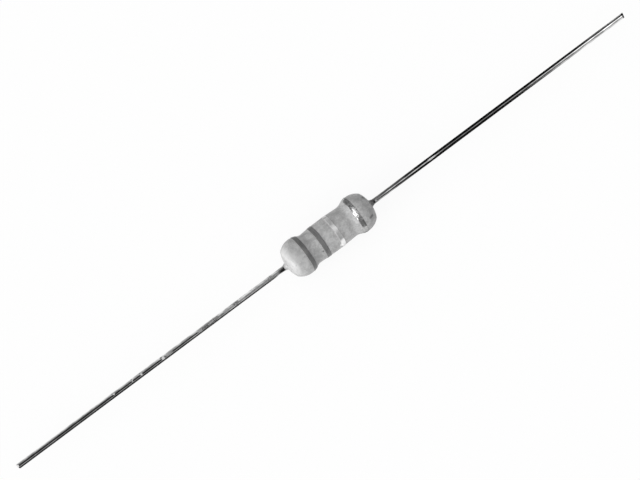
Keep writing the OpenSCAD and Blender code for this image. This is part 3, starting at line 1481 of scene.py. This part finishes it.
    def build_world(self) -> None:
        """Makes the world: white to the camera, soft grey to matt surfaces, panels to gloss."""
        world = bpy.data.worlds.new("studio")
        world.use_nodes = True
        world.cycles.sampling_method = "NONE"
        bpy.context.scene.world = world
        graph = Graph(world.node_tree)
        camera, gloss, glass = self.light_path(graph)
        way = Link(graph, graph.node("ShaderNodeTexCoord").outputs["Generated"])
        lean, depth, up = graph.parts(way)
        tilt = graph.maths("ARCTAN2", -depth, up) * math.degrees(1)
        light = self.dark_room
        for panel in self.panels:
            leaning = graph.window(lean, panel.lean, panel.lean_edge)
            light = light + panel.strength * leaning * graph.window(tilt, panel.tilt, panel.tilt_edge)
        seen = graph.most(camera, glass)
        soft = self.sky * (1 - self.sky_fall * lean)
        level = seen + (1 - seen) * (gloss * light + (1 - gloss) * soft)
        background = graph.node("ShaderNodeBackground", inputs={"Color": grey(1.0), "Strength": level})
        graph.node("ShaderNodeOutputWorld", inputs={"Surface": background.outputs[0]})

    def build_key(self) -> None:
        """Makes the low, soft key light at the left end."""
        lamp = bpy.data.lights.new("key", "SUN")
        lamp.energy = self.key_strength
        lamp.angle = self.key_angle
        placed("key", lamp).rotation_euler = self.key_from.to_track_quat("Z", "Y").to_euler()


@dataclass
class PhotoCamera:
    """The camera at the photograph's viewing angle."""

    azimuth: float = math.radians(-37.555)
    elevation: float = math.radians(75.947)
    distance: float = 240 * MM
    lens: float = 124.07
    sensor: float = 36.0
    body_scale: float = 9.19 / MM
    body_right: float = 8.56
    body_up: float = 5.02
    clip: SPAN = (0.01, 10.0)

    def build(self) -> None:
        """Makes the camera, aimed so that the body lies where the photograph has it."""
        sin_a, cos_a = math.sin(self.azimuth), math.cos(self.azimuth)
        sin_e, cos_e = math.sin(self.elevation), math.cos(self.elevation)
        back = Vector((sin_a * cos_e, -cos_a * cos_e, sin_e))
        right = Vector((cos_a, sin_a, 0))
        up = Vector((-sin_a * sin_e, cos_a * sin_e, cos_e))
        aim = -(right * self.body_right + up * self.body_up) / self.body_scale
        data = bpy.data.cameras.new("photo_camera")
        data.lens = self.lens
        data.sensor_width = self.sensor
        data.clip_start, data.clip_end = self.clip
        camera = placed("photo_camera", data)
        turn = Matrix((right, up, back)).transposed()
        camera.matrix_world = Matrix.Translation(aim + back * self.distance) @ turn.to_4x4()
        bpy.context.scene.camera = camera


@dataclass
class AxialResistor:
    """The whole resistor: what is hidden inside, the lacquer, the bands and the two wires."""

    sizes: BodySizes = field(default_factory=BodySizes)
    left_nicks: tuple[Nick, ...] = (
        Nick(22.4 * MM, math.radians(33), 0.035 * MM, 0.3 * MM),
        Nick(25.3 * MM, math.radians(38), 0.035 * MM, 0.22 * MM),
        Nick(26.4 * MM, math.radians(36), 0.035 * MM, 0.2 * MM),
        Nick(28.9 * MM, math.radians(34), 0.03 * MM, 0.25 * MM),
    )

    def build(self) -> None:
        """Builds and dresses every piece, from the inside out."""
        self.dress_inside()
        outline = BodyOutline(self.sizes)
        LacquerShell(self.sizes, outline).build()
        for band in self.bands(outline):
            band.build()
        WireLead(End.LEFT, self.sizes, outline, self.left_nicks).build()
        WireLead(End.RIGHT, self.sizes, outline).build()

    def dress_inside(self) -> None:
        """Finishes the pieces that the lacquer hides, which keep their CAD shapes."""
        dress_node("ceramic_core", FIRED_CERAMIC)
        dress_node("resistive_film", OXIDE_FILM)
        for side in End:
            dress_node(f"end_cap_{side.name.lower()}", CAP_STEEL)

    def bands(self, outline: BodyOutline) -> list[CodeBand]:
        """Lists the four code bands.

        Args:
            outline: The outline that they lie on.

        Returns:
            The bands, from left to right.
        """
        figure, gloss, silver = BandPaint(), GlossPaint(), SilverPaint()
        return [
            CodeBand(outline, "band_first_figure", "first_band", figure, Slot.GREY_PAINT, 1.0),
            CodeBand(outline, "band_second_figure", "second_band", figure, Slot.GREY_PAINT, 2.0),
            CodeBand(outline, "band_multiplier", "third_band", gloss, Slot.GLOSS_PAINT, 3.0),
            CodeBand(outline, "band_tolerance", "fourth_band", silver, Slot.SILVER_PAINT, 4.0),
        ]


def main() -> None:
    """Builds the camera, the resistor and the studio, in that order."""
    logging.basicConfig(level=logging.INFO, format="%(name)s: %(message)s")
    bpy.context.scene.view_settings.view_transform = "Standard"
    PhotoCamera().build()
    AxialResistor().build()
    Studio().build()


if __name__ == "__main__":
    main()
